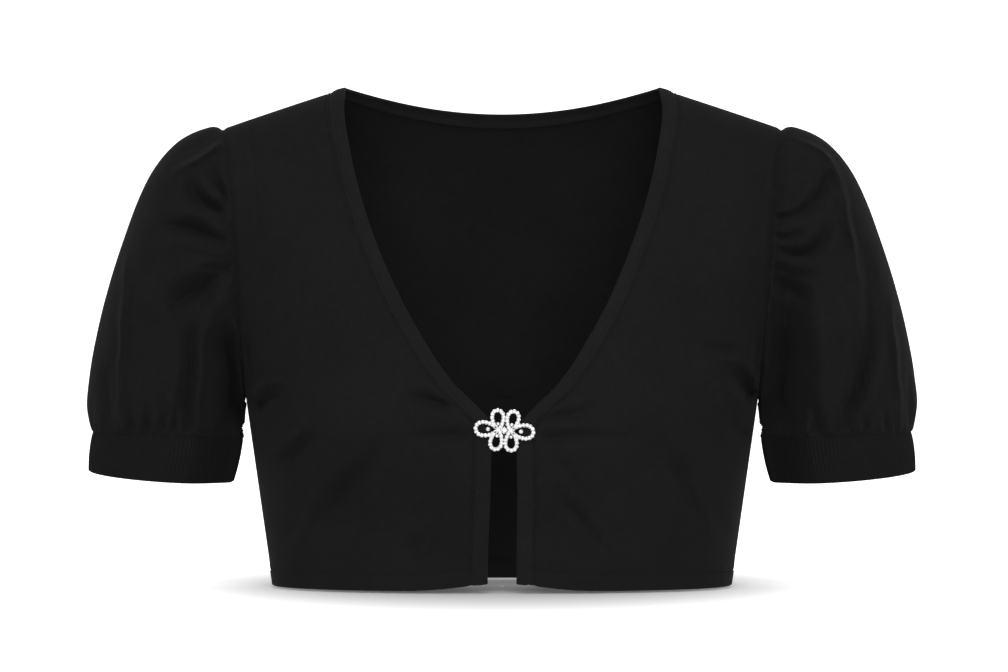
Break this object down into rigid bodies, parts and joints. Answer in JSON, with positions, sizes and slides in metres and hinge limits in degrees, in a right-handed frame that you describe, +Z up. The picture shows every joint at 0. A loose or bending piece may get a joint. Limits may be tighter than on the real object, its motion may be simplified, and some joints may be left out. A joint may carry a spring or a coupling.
{
  "type": "bolero jacket",
  "caption": "Cropped open-fronted jersey bolero jacket, filled out and empty, with gathered puff sleeves, ribbed cuffs, a banded neckline and a looped jewelled clasp.",
  "frame": {"origin": "midway between the two points where the shoulder seams meet the neck edge, where the wearer's shoulders hold it", "axes": "+Z up, the front faces -Y, +X towards the wearer's left"},
  "size_m": [0.5474, 0.22, 0.3277],
  "materials": {
    "jersey": "fine black stretch jersey with a slight sheen",
    "rib": "black one-by-one rib knit",
    "clasp": "silver-plated wire set with clear rhinestones"
  },
  "bodies": {
    "root": {"front_left": "jersey", "front_right": "jersey", "back": "jersey", "sleeve_left": "jersey", "sleeve_right": "jersey", "cuff_left": "rib", "cuff_right": "rib", "neck_band": "jersey", "clasp_left": "clasp", "clasp_right": "clasp"}
  },
  "joints": []
}
